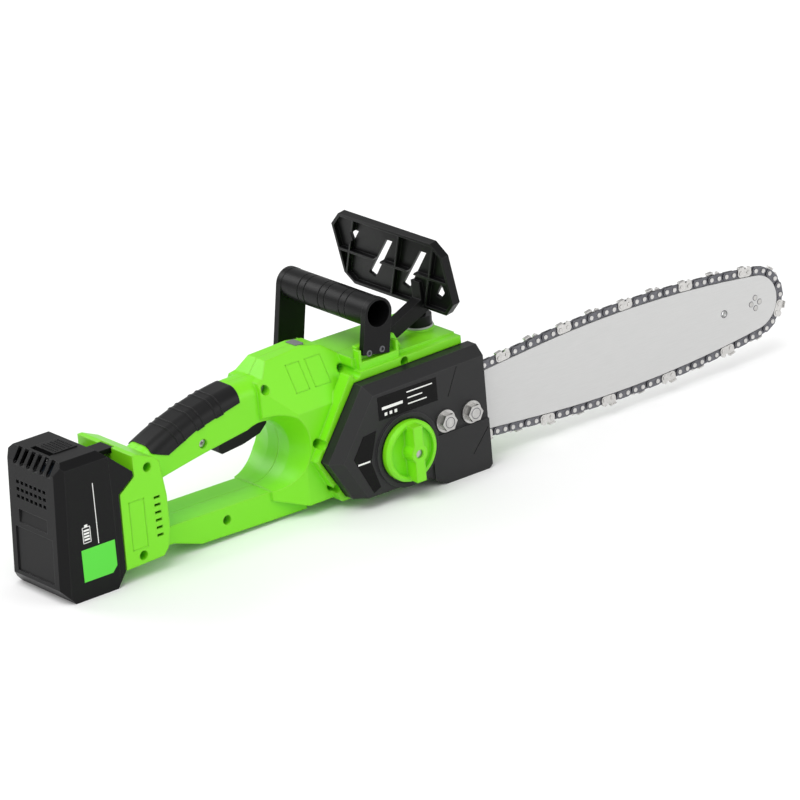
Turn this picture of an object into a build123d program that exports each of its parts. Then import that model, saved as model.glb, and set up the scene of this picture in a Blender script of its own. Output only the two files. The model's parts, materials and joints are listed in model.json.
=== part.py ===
"""Cordless chainsaw: a handheld saw with a 300 mm bar, a slide-on battery and a rear D-handle.

Every outline is drawn in the saw's own layout: stations run forward from the back of the battery,
heights run up from the floor the saw rests on, and offsets run left (+) or right (-) of the plane
where the two housing halves meet. side(), level() and across() turn that layout into the part's
frame, whose origin is the bottom centre of the whole saw, with +X to the bar's tip and +Z up.
"""
import os
from math import asin, atan2, cos, degrees, pi, radians, sin, sqrt

from build123d import *

os.makedirs("parts", exist_ok=True)

# Driving dimensions, in millimetres
overall_length = 735.55  # back of the battery to the tip of the chain
split_y = -0.6  # offset of the plane where the housing halves meet from the middle of the whole saw
wall = 2.6  # housing wall
slip = 0.3  # clearance round a sliding part

body_half = 36.0  # half width of the main body
handle_half = 18.0  # half width of the rear handle
lower_half = 23.0  # half width of the lower bar of the D-handle
block_half = 37.0  # half width of the rear block that takes the battery
flange_y = -44.5  # outer face of the flange round the sprocket cover
cover_y = -62.0  # outer face of the sprocket cover
platform_height = 113.0

bar_y = -49.0  # middle plane of bar and chain
bar_height = 53.0
bar_thickness = 4.0
groove_width = 1.6
groove_depth = 7.0
nose_station = 703.0
nose_radius = 23.7
belly_radius = 1085.0  # the bar's rails are long flat arcs
belly_station = 558.0
sprocket_station = 288.0
sprocket_pitch_radius = 18.55  # circle of the chain's rivets round the drive sprocket
rivet_offset = 4.0  # chain rivets above the bar's rail
chain_pitch = 8.255  # distance between neighbouring rivets
stud_stations = (361.0, 387.6)

gear_module = 1.0
gear_teeth = 48
pinion_teeth = 12
gear_distance = gear_module * (gear_teeth + pinion_teeth) / 2
motor_station = sprocket_station + gear_distance * cos(radians(30))
motor_height = bar_height + gear_distance * sin(radians(30))
motor_radius = 23.0
barrel_radius = 30.0  # motor housing on the left side
barrel_end = 70.5

guard_pivot = (338.0, 119.0)
guard_y = 7.0
arm_y = -18.2
handle_near = -41.0  # outer face of the front handle's right leg
handle_far = 77.0
handle_lean = 9.4
cap_station, cap_y = 385.0, -5.0
knob_station, knob_height = 321.0, 40.5
trigger_pivot = (221.0, 88.0)
battery_half = 37.5

rear_x = -overall_length / 2


def side(y):
    """Plane seen from the right: x is the station, y the height, and it faces -Y."""
    return Plane(origin=(rear_x, split_y + y, 0), x_dir=(1, 0, 0), z_dir=(0, -1, 0))


def level(height):
    """Plane seen from above: x is the station, y the offset to the left."""
    return Plane(origin=(rear_x, split_y, height), x_dir=(1, 0, 0), z_dir=(0, 0, 1))


def across(station):
    """Plane seen from the front: x is the offset to the left, y the height."""
    return Plane(origin=(rear_x + station, split_y, 0), x_dir=(0, 1, 0), z_dir=(1, 0, 0))


def slab(points, y_from, y_to, inset=0.0):
    """A flat plate with a polygon side outline drawn in by an inset, between two offsets."""
    with BuildPart() as plate:
        with BuildSketch(side(max(y_from, y_to))):
            with BuildLine():
                Polyline(*points, close=True)
            make_face()
            if inset:
                offset(amount=-inset, kind=Kind.INTERSECTION, mode=Mode.REPLACE)
        extrude(amount=abs(y_from - y_to))
    return plate.part


def block(s_from, s_to, y_from, y_to, h_from, h_to):
    """A box between two stations, two offsets and two heights."""
    with BuildPart(side(max(y_from, y_to))) as box:
        with Locations(((s_from + s_to) / 2, (h_from + h_to) / 2)):
            Box(s_to - s_from, h_to - h_from, abs(y_to - y_from), align=(Align.CENTER, Align.CENTER, Align.MIN))
    return box.part


def rod(station, height, y_from, y_to, radius):
    """A round bar across the saw."""
    with BuildPart(side(max(y_from, y_to))) as bar:
        with Locations((station, height)):
            Cylinder(radius, abs(y_to - y_from), align=(Align.CENTER, Align.CENTER, Align.MIN))
    return bar.part


def post(station, y, h_from, h_to, radius):
    """An upright round bar."""
    with BuildPart(level(h_from)) as bar:
        with Locations((station, y)):
            Cylinder(radius, h_to - h_from, align=(Align.CENTER, Align.CENTER, Align.MIN))
    return bar.part


def write(shape, name):
    """Labels a finished piece and writes it to its own file."""
    shape.label = name
    export_step(shape, f"parts/{name}.step")
    print(f"{name:24s} {len(shape.solids()):4d} solids {shape.volume:12.1f} mm3")


# ---------------------------------------------------------------- outlines shared by several parts
body_outline = [
    (212, 118), (218, 119.5), (227, 131), (263, 133), (281, 129.5), (300, 115.5),
    (306, platform_height), (397, platform_height - 0.4), (399, 60), (397, 12), (240, 10), (212, 20),
]
handle_crest = [(86, 82), (142, 107.8), (200, 119.5)]  # an arc over the palm's rest
handle_belly = [(236, 120), (246, 86), (209, 84), (163, 77.2), (142, 73.6), (116, 68.7), (86, 60)]
lower_outline = [(88, 29), (215, 27.5), (246, 30), (246, 2.6), (191, 3.6), (142, 4.8), (116, 13.4), (88, 15)]
block_outline = [
    (60, 12), (96, 13.4), (101, 19), (104, 34), (104, 62), (100, 92), (95, 96.5),
    (80, 103), (75.6, 103), (75.6, 86), (60.8, 75),
]
cover_outline = [
    (248.5, 47), (287.5, 102.3), (404.5, 104.3), (404.5, 3), (401, 0),
    (358, 0), (342, 9), (328, 10.5), (270, 11.2),
]
flange_outline = [(244.5, 47), (284, 109.5), (397, 111.4), (397, 12), (266, 8)]
mouth_centre, mouth_radius = (212, 57), 28.5
scoop_centre, scoop_radius = (212, 62), 34.5

screw_places = [
    (88.5, 90.0), (77.0, 19.5), (156.0, 84.0), (217.0, 112.0),
    (168.0, 17.0), (252.0, 60.0), (291.0, 109.0), (262.0, 20.5), (339.0, 106.0), (380.0, 22.0),
]
screw_seat = 13.0  # depth of the screw heads' seats, right of the split plane
screw_reach = 13.0  # how far the screws run into the left half


# ---------------------------------------------------------------- housing: two halves, right and left
def envelope(sign, inset):
    """Outside of one housing half, drawn in by an inset all round."""
    body = slab(body_outline, 0, sign * (body_half - inset), inset)
    lower = slab(lower_outline, 0, sign * (lower_half - inset), inset)
    rear = slab(block_outline, 0, sign * (block_half - inset), inset)
    with BuildPart() as handle:
        with BuildSketch(side(0)):
            with BuildLine():
                ThreePointArc(*handle_crest)
                Polyline(handle_crest[-1], *handle_belly, handle_crest[0])
            make_face()
            if inset:
                offset(amount=-inset - 2.6, kind=Kind.INTERSECTION, mode=Mode.REPLACE)
        extrude(amount=-sign * (handle_half - inset))
        outer_edges = edges().group_by(Axis.Y)[0 if sign < 0 else -1]
        fillet(outer_edges.sort_by(Axis.Z)[-1], 12 - inset)
    # the hump's flanks slope down from a narrow top to the full width
    drop = (0.863 * inset, 0.506 * inset)
    with BuildPart() as flank:
        with BuildSketch(across(205)):
            with BuildLine():
                Polyline(
                    (sign * (9.5 - drop[0]), 134 - drop[1]), (sign * (36.5 - drop[0]), 88 - drop[1]),
                    (sign * 70, 88 - drop[1]), (sign * 70, 160), (sign * (9.5 - drop[0]), 160), close=True,
                )
            make_face()
        extrude(amount=88 + inset)
    # the body opens out from the mouth of the D-handle like a bowl
    with BuildPart() as scoop:
        with BuildSketch(side(sign * 14)):
            with Locations(mouth_centre):
                Circle(mouth_radius + inset)
        with BuildSketch(side(sign * (body_half + 1))):
            with Locations(scoop_centre):
                Circle(scoop_radius + inset)
        loft()
    mouth = rod(*mouth_centre, -60, 60, mouth_radius + inset)
    # above and below the mouth the body narrows towards the handle and the lower bar
    with BuildPart() as tapers:
        for h_from, h_to, start, end in ((84, 140, handle_half, 238), (0, 46, lower_half, 242)):
            with BuildSketch(level(h_from)):
                with BuildLine():
                    Polyline(
                        (206, sign * (start - 1.1 * inset)), (end, sign * (body_half + 0.6 - 1.1 * inset)),
                        (end, sign * 60), (206, sign * 60), close=True,
                    )
                make_face()
            extrude(amount=h_to - h_from)
    with BuildPart() as whole:
        add(body)
        add(flank.part, mode=Mode.SUBTRACT)
        add(tapers.part, mode=Mode.SUBTRACT)
        add(scoop.part, mode=Mode.SUBTRACT)
        add(handle.part)
        add(lower)
        add(rear)
        add(mouth, mode=Mode.SUBTRACT)
    return whole.part


def screw_bosses(sign, radius):
    """Bosses along the saw's width, from just inside the split plane outwards."""
    with BuildPart() as bosses:
        with BuildSketch(side(sign * slip / 2)):
            with Locations(*screw_places):
                Circle(radius)
        extrude(amount=-sign * (60 - slip / 2))
    return bosses.part


def half(sign, extra, cuts, cavities):
    """One housing half: its envelope and extras, hollowed out, with bosses and cuts."""
    outer = envelope(sign, 0)
    inner = envelope(sign, wall)
    with BuildPart() as outside:
        add(outer)
        add(extra)
    with BuildPart() as bosses:
        add(screw_bosses(sign, 5.2))
        add(outside.part, mode=Mode.INTERSECT)
    with BuildPart() as shell:
        add(outside.part)
        add(inner, mode=Mode.SUBTRACT)
        add(cavities, mode=Mode.SUBTRACT)
        add(bosses.part)
        add(cuts, mode=Mode.SUBTRACT)
    return shell.part


def rail(sign):
    """Half of the T-shaped rail that the battery slides down onto."""
    y_side = (sign * 14, 0)
    return [block(55.8, 62, *y_side, 14, 72), block(54.1, 56, sign * 19, 0, 14, 72)]


def shared_cuts(sign):
    """Openings that both halves have: vents, the trigger's slot, the latch's catch and the blades' window."""
    cuts = [
        block(170.5, 229, 0, sign * 9.7, 58, 95),
        block(75.2, 79.4, 0, sign * 8.8, 97.5, 104.5),
        block(53, 64, 0, sign * 8.2, 24, 58),
        block(261.0, 269.2, 0, sign * 7.0, 126, 134),
        post(cap_station, cap_y, 104, 116, 9.6),
        rod(*trigger_pivot, sign * 15.4, 0, 1.56),
    ]
    for count in range(6):
        height = 31.5 + 6.3 * count
        cuts.append(block(91.5, 97.5, sign * 32, sign * 38, height - 1.1, height + 1.1))
    return cuts


leg_screw_places = [(307.8, 121.0), (320.8, 121.0)]
barrel_screw_places = [(motor_station - 8 + spot, motor_height + 6) for spot in (-7, 7)]
flange = slab(flange_outline, -32, flange_y)
pocket = slab(
    [(297, 108), (297, 126), (299.2, 126), (299.2, 116), (334.3, 116), (334.3, 124.5), (336.5, 124.5), (336.5, 108)],
    -34, handle_near - 0.4,
)
with BuildPart() as cap_pad:
    add(post(cap_station, cap_y, 108, 114.2, 13))
    add(block(cap_station - 20, cap_station + 20, 0, 30, 100, 120), mode=Mode.SUBTRACT)
with BuildPart() as cap_pad_left:
    add(post(cap_station, cap_y, 108, 114.2, 13))
    add(block(cap_station - 20, cap_station + 20, 0, -30, 100, 120), mode=Mode.SUBTRACT)
pivot_lugs = [
    slab([(328, 112), (333, 125), (343, 125), (350, 112)], arm_y + side_offset, arm_y + side_offset - 3)
    for side_offset in (9.0, -6.0)
]
trigger_boss_right = rod(*trigger_pivot, -9.9, -16, 3.6)
trigger_boss_left = rod(*trigger_pivot, 16, 9.9, 3.6)
right_cuts = shared_cuts(-1) + [
    slab(cover_outline, -42.9, -46, -0.5),
    rod(*guard_pivot, arm_y + 12, arm_y - 12, 2.06),
    rod(sprocket_station, bar_height, -38, -46, 6),
]
for place in screw_places:
    right_cuts.append(rod(*place, -screw_seat, -60, 3.9))
    right_cuts.append(rod(*place, 1, -screw_seat - 1, 1.9))
for place in leg_screw_places:
    right_cuts.append(rod(*place, -29.5, -42, 1.56))
leg_boss = block(300, 334, -29, -35.3, 112, 127)
gear_room = slab(flange_outline, -30, -40.3, 4.6)
bearing_boss = rod(sprocket_station, bar_height, -33, -41, 13.5)
bearing_bore = rod(sprocket_station, bar_height, -32, -40.2, 11.02)
with BuildPart() as housing_right:
    add(half(-1, [flange, pocket, cap_pad.part, leg_boss] + rail(-1), right_cuts, [gear_room]))
    add(pivot_lugs)
    add(trigger_boss_right)
    add(bearing_boss)
    add(rod(*guard_pivot, arm_y + 12, arm_y - 12, 2.06), mode=Mode.SUBTRACT)
    add(rod(*trigger_pivot, 0, -15.4, 1.56), mode=Mode.SUBTRACT)
    add(bearing_bore, mode=Mode.SUBTRACT)
    add(rod(sprocket_station, bar_height, -38, -46, 6), mode=Mode.SUBTRACT)

left_cuts = shared_cuts(1)
for place in screw_places:
    left_cuts.append(rod(*place, screw_reach + 1, -1, 1.56))
barrel = rod(motor_station, motor_height, barrel_end, 20, barrel_radius)
barrel_room = rod(motor_station, motor_height, barrel_end - 4.4, 0, barrel_radius - wall)
foot = slab([(276, 14), (280, 0), (352, 0), (356, 14)], body_half - 2, 10)
barrel_foot_cuts = [
    rod(*place, barrel_end + 1, barrel_end - 4, 1.55) for place in barrel_screw_places
]
cooling_slots = [
    block(motor_station - 14, motor_station + 14, barrel_end - 6, barrel_end + 1, height - 1.3, height + 1.3)
    for height in (50, 56)
]
with BuildPart() as housing_left:
    add(half(1, [barrel, foot, cap_pad_left.part] + rail(1), left_cuts, [barrel_room]))
    add(trigger_boss_left)
    add(rod(*trigger_pivot, 15.4, 0, 1.56), mode=Mode.SUBTRACT)
    add(barrel_foot_cuts, mode=Mode.SUBTRACT)
    add(cooling_slots, mode=Mode.SUBTRACT)

# ---------------------------------------------------------------- rubber grip over the rear handle
# The grip is the handle's own crest, a little proud, down to a line along the sides.
grip_zone = slab([(108, 90), (108, 130), (194, 130), (194, 107.5), (150, 97), (122, 85)], 30, -30)


def crest(reach, proud):
    """The handle's crest as a solid, with its long edges rounded like the handle's."""
    with BuildPart() as solid:
        with BuildSketch(side(reach)):
            with BuildLine():
                ThreePointArc(*[(s, h + proud) for s, h in handle_crest])
                Polyline((200, 119.5 + proud), (215, 119.8 + proud), (215, 84), (86, 66), (86, 82 + proud))
            make_face()
        extrude(amount=2 * reach)
        fillet(edges().filter_by(GeomType.CIRCLE).group_by(Axis.Y)[0], 12)
        fillet(edges().filter_by(GeomType.CIRCLE).group_by(Axis.Y)[-1], 12)
    return solid.part


grip_inside = crest(handle_half - 2.0, -2.0)
with BuildPart() as rear_grip:
    add(crest(handle_half + 0.7, 0.7))
    add(grip_zone, mode=Mode.INTERSECT)
    add(grip_inside, mode=Mode.SUBTRACT)
grip_pocket = crest(handle_half + 0.75, 0.75)
with BuildPart() as pocket_cut:
    add(grip_pocket)
    add(grip_zone, mode=Mode.INTERSECT)
    add(crest(handle_half - 2.05, -2.05), mode=Mode.SUBTRACT)
write(rear_grip.part, "rear_grip")
for name, shell in (("housing_right", housing_right), ("housing_left", housing_left)):
    with BuildPart() as trimmed:
        add(shell.part)
        add(pocket_cut.part, mode=Mode.SUBTRACT)
    write(trimmed.part, name)


# ---------------------------------------------------------------- screws that join the halves
def screws(places, y_head, y_tip, head_radius=3.4, shank_radius=1.5, head=2.2):
    """Pan-head screws along the saw's width, one separate solid each."""
    towards = 1 if y_tip > y_head else -1
    with BuildPart() as group:
        with BuildSketch(side(y_head)):
            with Locations(*places):
                Circle(head_radius)
                RegularPolygon(1.6, 6, mode=Mode.SUBTRACT)
        extrude(amount=-towards * (head - 0.8))
        with BuildSketch(side(y_head + towards * (head - 0.8))):
            with Locations(*places):
                Circle(head_radius)
        extrude(amount=-towards * 0.8)
        with BuildSketch(side(y_head + towards * head)):
            with Locations(*places):
                Circle(shank_radius)
        extrude(amount=-towards * (abs(y_tip - y_head) - head))
    return group.part


write(screws(screw_places, -screw_seat - 2.25, screw_reach), "housing_screws")


# ---------------------------------------------------------------- front handle: two legs and an open tube
bore_station, bore_height, tube_radius = 320.0, 151.3, 13.0
lean = (sin(radians(handle_lean)), cos(radians(handle_lean)))


def leg(y_outer, y_inner, length):
    """A flat leg with a round top that leans forward, from its outer to its inner face."""
    with BuildPart() as plate:
        with BuildSketch(side(max(y_outer, y_inner))):
            with Locations(Location((bore_station, bore_height), -handle_lean)):
                Circle(13.3)
                with Locations((0, -length / 2)):
                    Rectangle(26.6, length)
        extrude(amount=abs(y_outer - y_inner))
    return plate.part


near_leg = leg(handle_near, handle_near + 5.5, 33.2)
far_leg = leg(handle_far, handle_far - 6, 84)
with BuildPart() as tube:
    with BuildSketch(side(handle_far)):
        with Locations((bore_station, bore_height)):
            Circle(tube_radius)
    extrude(amount=handle_far - handle_near)
    # three pairs of grip rings, each two shallow grooves
    for centre in (0.27, 0.5, 0.73):
        for spacing in (-4, 4):
            ring_y = handle_near + centre * (handle_far - handle_near) + spacing
            with BuildSketch(side(ring_y + 0.6)):
                with Locations((bore_station, bore_height)):
                    Circle(tube_radius + 1)
                    Circle(tube_radius - 0.7, mode=Mode.SUBTRACT)
            extrude(amount=1.2, mode=Mode.SUBTRACT)
with BuildPart() as front_handle:
    add(tube.part)
    add(near_leg)
    add(far_leg)
    add(rod(bore_station, bore_height, handle_near - 1, handle_far - 8, 11), mode=Mode.SUBTRACT)
    for place in leg_screw_places:
        add(rod(*place, handle_near - 1, handle_near + 8, 1.7), mode=Mode.SUBTRACT)
        add(rod(*place, handle_near - 1, handle_near + 2.3, 2.9), mode=Mode.SUBTRACT)
    for place in barrel_screw_places:
        add(rod(*place, handle_far + 1, handle_far - 8, 1.7), mode=Mode.SUBTRACT)
        add(rod(*place, handle_far + 1, handle_far - 2.4, 2.9), mode=Mode.SUBTRACT)
write(front_handle.part, "front_handle")
with BuildPart() as handle_screws:
    add(screws(leg_screw_places, handle_near + 0.1, -30.5, 2.7, 1.5))
    add(screws(barrel_screw_places, handle_far - 0.1, 67, 2.7, 1.5))
write(handle_screws.part, "handle_screws")


# ---------------------------------------------------------------- hand guard on its arm
guard_lean = 9.5
guard_top = (374.2, 200.3)
guard_outline = [(-60, 0), (-73, 12), (-71, 56), (-60, 64.5), (60, 64.5), (73, 52), (72, 10), (60, 0)]
guard_plane = Plane(
    origin=(rear_x + guard_top[0], split_y + guard_y, guard_top[1]),
    x_dir=(0, -1, 0), z_dir=(-cos(radians(guard_lean)), 0, -sin(radians(guard_lean))),
)


def slanted_slot(across_top):
    """A tall slot that runs down and to the left of the guard's plate."""
    return [(across_top, 13), (across_top + 8.4, 13), (across_top - 27.5, 54), (across_top - 35, 51)]


with BuildPart() as hand_guard:
    with BuildSketch(guard_plane):
        with BuildLine():
            Polyline(*[(a, -b) for a, b in guard_outline], close=True)
        make_face()
    extrude(amount=7, both=False)
    # dish behind the rim, split by ribs
    with BuildSketch(guard_plane.offset(3)):
        with BuildLine():
            Polyline(*[(a, -b) for a, b in guard_outline], close=True)
        make_face()
        offset(amount=-2.6, kind=Kind.INTERSECTION, mode=Mode.REPLACE)
        with Locations((0, -34.5)):
            Rectangle(150, 2.2, mode=Mode.SUBTRACT)
        for start in (-42, 18, 62):
            with BuildLine():
                Polyline((start, -2), (start + 2, -2), (start - 28, -62), (start - 30, -62), close=True)
            make_face(mode=Mode.SUBTRACT)
    extrude(amount=5, mode=Mode.SUBTRACT)
    with BuildSketch(guard_plane.offset(-1)):
        for start in (-6, 38):
            with BuildLine():
                Polyline(*[(a, -b) for a, b in slanted_slot(start)], close=True)
            make_face()
        with BuildLine():
            Polyline((-52.4, -14), (-42, -14), (-53.5, -26.3), (-55, -20), close=True)
        make_face()
        with BuildLine():
            Polyline((57, -38.7), (59.2, -46), (52, -53), (46.2, -51.2), close=True)
        make_face()
    extrude(amount=9, mode=Mode.SUBTRACT)
    with BuildSketch(side(arm_y + 5.5)):
        with BuildLine():
            Polyline((389, 137.5), (381, 158), (375.5, 158), (376, 143), (335, 124.3), (341, 114.5), (384, 133), close=True)
        make_face()
        with Locations(guard_pivot):
            Circle(5.4)
    extrude(amount=11)
    with BuildSketch(side(arm_y + 7)):
        with Locations(guard_pivot):
            Circle(2.06)
    extrude(amount=14, mode=Mode.SUBTRACT)
write(hand_guard.part, "hand_guard")
with BuildPart() as pivot_pins:
    add(rod(*guard_pivot, arm_y + 9.5, arm_y - 9.5, 2.0))
    add(rod(*trigger_pivot, 15.2, -15.2, 1.5))
write(pivot_pins.part, "pivot_pins")


# ---------------------------------------------------------------- guide bar
belly_drop = sqrt((belly_radius - nose_radius) ** 2 - (nose_station - belly_station) ** 2)
centre_span = sqrt((belly_station - sprocket_station) ** 2 + belly_drop**2)
belly_rivets = belly_radius + rivet_offset
nose_rivets_radius = nose_radius + rivet_offset
run_slope = atan2(belly_station - sprocket_station, belly_drop) - asin(
    sqrt(1 - ((belly_rivets - sprocket_pitch_radius) / centre_span) ** 2)
)
nose_angle = atan2(belly_drop, nose_station - belly_station)
tail_station = 345.0


def bar_face(depth):
    """Half sketch of the bar's plate, its rails drawn in by a depth."""
    start = (
        belly_station - (belly_radius - depth) * sin(run_slope),
        (belly_radius - depth) * cos(run_slope) - belly_drop,
    )
    middle_angle = (pi / 2 + run_slope + nose_angle) / 2
    middle = (
        belly_station + (belly_radius - depth) * cos(middle_angle),
        (belly_radius - depth) * sin(middle_angle) - belly_drop,
    )
    radius = nose_radius - depth
    meet = (nose_station + radius * cos(nose_angle), radius * sin(nose_angle))
    tail = (tail_station, start[1] - (start[0] - tail_station) * sin(run_slope) / cos(run_slope))
    with BuildSketch() as face:
        with BuildLine():
            rise = Line(tail, start)
            ThreePointArc(rise @ 1, middle, meet)
            ThreePointArc(meet, (nose_station + radius, 0), (meet[0], -meet[1]))
            ThreePointArc((meet[0], -meet[1]), (middle[0], -middle[1]), (start[0], -start[1]))
            Line((start[0], -start[1]), (tail[0], -tail[1]))
            Line((tail[0], -tail[1]), tail)
        make_face()
    return face.sketch.moved(Location((0, bar_height)))


stud_middle = sum(stud_stations) / 2
tension_hole = (374.0, bar_height + 10.5)
plate_thickness = (bar_thickness - groove_width) / 2
with BuildPart() as guide_bar:
    with BuildSketch(side(bar_y + bar_thickness / 2)):
        add(bar_face(0))
    extrude(amount=bar_thickness)
    # the groove that the chain's tangs run in, and the room for the nose sprocket
    with BuildSketch(side(bar_y + groove_width / 2)):
        add(bar_face(-2))
        add(bar_face(groove_depth - 2.4), mode=Mode.SUBTRACT)
        with Locations((nose_station, bar_height)):
            Circle(20.6)
    extrude(amount=groove_width, mode=Mode.SUBTRACT)
    with BuildSketch(side(bar_y + bar_thickness)):
        with Locations((stud_middle, bar_height)):
            SlotCenterToCenter(stud_stations[1] - stud_stations[0] + 4, 8.5)
        with Locations(tension_hole):
            Circle(3.05)
        with Locations((668.4, bar_height)):
            Circle(3)
        with Locations((nose_station, bar_height)):
            with PolarLocations(4.6, 4):
                Circle(1.55)
    extrude(amount=2 * bar_thickness, mode=Mode.SUBTRACT)
write(guide_bar.part, "guide_bar")

with BuildPart() as nose_bearing:
    with BuildSketch(side(bar_y + 0.65)):
        with Locations((nose_station, bar_height)):
            Circle(7.4)
            with PolarLocations(4.6, 4):
                Circle(1.55, mode=Mode.SUBTRACT)
    extrude(amount=1.3)
write(nose_bearing.part, "nose_bearing")

nose_teeth = 10
with BuildPart() as nose_sprocket:
    with BuildSketch(side(bar_y + 0.65)):
        with Locations((nose_station, bar_height)):
            Circle(19.6)
            Circle(7.7, mode=Mode.SUBTRACT)
            with PolarLocations(19.6, nose_teeth):
                Circle(3.1, mode=Mode.SUBTRACT)
            with PolarLocations(11.4, 5):
                Circle(1.5, mode=Mode.SUBTRACT)
    extrude(amount=1.3)
write(nose_sprocket.part, "nose_sprocket")

with BuildPart() as nose_rivets:
    with BuildSketch(side(bar_y + bar_thickness / 2 + 0.3)):
        with Locations((nose_station, bar_height)):
            with PolarLocations(4.6, 4):
                Circle(1.5)
    extrude(amount=bar_thickness + 0.6)
    for face_y in (bar_y + bar_thickness / 2 + 0.35, bar_y - bar_thickness / 2 - 0.05):
        with BuildSketch(side(face_y)):
            with Locations((nose_station, bar_height)):
                with PolarLocations(4.6, 4):
                    Circle(2.1)
        extrude(amount=0.3)
write(nose_rivets.part, "nose_rivets")


# ---------------------------------------------------------------- saw chain
line_length = sqrt(centre_span**2 - (belly_rivets - sprocket_pitch_radius) ** 2)
upper_run = [
    ("arc", sprocket_station, 0.0, sprocket_pitch_radius, pi, pi / 2 + run_slope),
    ("line", run_slope, line_length),
    ("arc", belly_station, -belly_drop, belly_rivets, pi / 2 + run_slope, nose_angle),
    ("arc", nose_station, 0.0, nose_rivets_radius, nose_angle, 0.0),
]


def run_length(piece):
    return piece[2] if piece[0] == "line" else piece[3] * (piece[4] - piece[5])


half_loop = sum(run_length(piece) for piece in upper_run)
rivet_count = 8 * round(2 * half_loop / chain_pitch / 8)
link_pitch = 2 * half_loop / rivet_count


def on_chain(distance):
    """Place and direction along the loop of rivets, from behind the drive sprocket over the top."""
    distance %= 2 * half_loop
    below = distance > half_loop
    left = 2 * half_loop - distance if below else distance
    for piece in upper_run:
        if left <= run_length(piece) + 1e-6:
            break
        left -= run_length(piece)
    if piece[0] == "line":
        start_angle = pi / 2 + run_slope
        x = sprocket_station + sprocket_pitch_radius * cos(start_angle) + left * cos(run_slope)
        z = sprocket_pitch_radius * sin(start_angle) + left * sin(run_slope)
        heading = run_slope
    else:
        angle = piece[4] - left / piece[3]
        x, z = piece[1] + piece[3] * cos(angle), piece[2] + piece[3] * sin(angle)
        heading = angle - pi / 2
    if below:
        z, heading = -z, pi - heading
    return x, bar_height + z, heading


def link_locations(first, step):
    """Locations of every link that joins a rivet to the next, halfway between the two."""
    spots = []
    for index in range(first, rivet_count, step):
        ax, az, _ = on_chain(index * link_pitch)
        bx, bz, _ = on_chain((index + 1) * link_pitch)
        spots.append(Location(((ax + bx) / 2, (az + bz) / 2), degrees(atan2(bz - az, bx - ax))))
    return spots


hole_radius, pin_radius, end_radius = 1.3, 1.2, 3.4
link_thickness = 1.2
side_inner = 0.72  # inner face of the side links, from the chain's middle
with BuildSketch() as drive_shape:
    SlotCenterToCenter(link_pitch, 2 * end_radius)
    with BuildLine():
        Polyline((-4.6, -1), (4.6, -1), (2.2, -7), (-1.6, -7), close=True)
    make_face()
    with Locations((-link_pitch / 2, 0), (link_pitch / 2, 0)):
        Circle(hole_radius, mode=Mode.SUBTRACT)
with BuildSketch() as strap_shape:
    SlotCenterToCenter(link_pitch, 2 * end_radius)
    with Locations((-link_pitch / 2, 0), (link_pitch / 2, 0)):
        Circle(hole_radius, mode=Mode.SUBTRACT)
with BuildSketch() as cutter_shape:
    SlotCenterToCenter(link_pitch, 2 * end_radius)
    with BuildLine():
        Polyline(
            (-7.4, 0), (-7.2, 5.2), (-1.4, 6.0), (-0.4, 3.6), (1.6, 2.6),
            (2.6, 5.0), (4.2, 5.6), (6.6, 4.4), (7.4, 0), close=True,
        )
    make_face()
    with Locations((-link_pitch / 2, 0), (link_pitch / 2, 0)):
        Circle(hole_radius, mode=Mode.SUBTRACT)
with BuildSketch() as tooth_shape:
    with BuildLine():
        Polyline((-7.2, 4.2), (-7.2, 5.2), (-1.4, 6.0), (-1.4, 5.0), close=True)
    make_face()


def links(shape, spots, y_from, thickness):
    """Flat links stamped from one shape at many places, one solid each."""
    with BuildPart() as group:
        with BuildSketch(side(y_from)):
            with Locations(*spots):
                add(shape.sketch)
        extrude(amount=thickness)
    return group.part


write(links(drive_shape, link_locations(0, 2), bar_y + 0.65, 1.3), "chain_drive_links")
left_face = bar_y + side_inner + link_thickness  # outer face of the left side links
right_face = bar_y - side_inner
plain = link_locations(3, 8) + link_locations(7, 8)
left_spots, right_spots = link_locations(1, 8), link_locations(5, 8)
with BuildPart() as tie_straps:
    add(links(strap_shape, plain + right_spots, left_face, link_thickness))
    add(links(strap_shape, plain + left_spots, right_face, link_thickness))
write(tie_straps.part, "chain_tie_straps")
with BuildPart() as left_cutters:
    add(links(cutter_shape, left_spots, left_face, link_thickness))
    add(links(tooth_shape, left_spots, left_face + 1.2, 3.6))
write(left_cutters.part, "chain_cutters_left")
with BuildPart() as right_cutters:
    add(links(cutter_shape, right_spots, right_face, link_thickness))
    add(links(tooth_shape, right_spots, right_face + 1.2, 3.6))
write(right_cutters.part, "chain_cutters_right")
rivet_spots = [Location(on_chain(index * link_pitch)[:2]) for index in range(rivet_count)]
rivet_reach = side_inner + link_thickness + 0.06
with BuildPart() as chain_rivets:
    with BuildSketch(side(bar_y + rivet_reach)):
        with Locations(*rivet_spots):
            Circle(pin_radius)
    extrude(amount=2 * rivet_reach)
    for face_y in (bar_y + rivet_reach + 0.5, bar_y - rivet_reach):
        with BuildSketch(side(face_y)):
            with Locations(*rivet_spots):
                Circle(1.9)
        extrude(amount=0.5)
write(chain_rivets.part, "chain_rivets")


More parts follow.
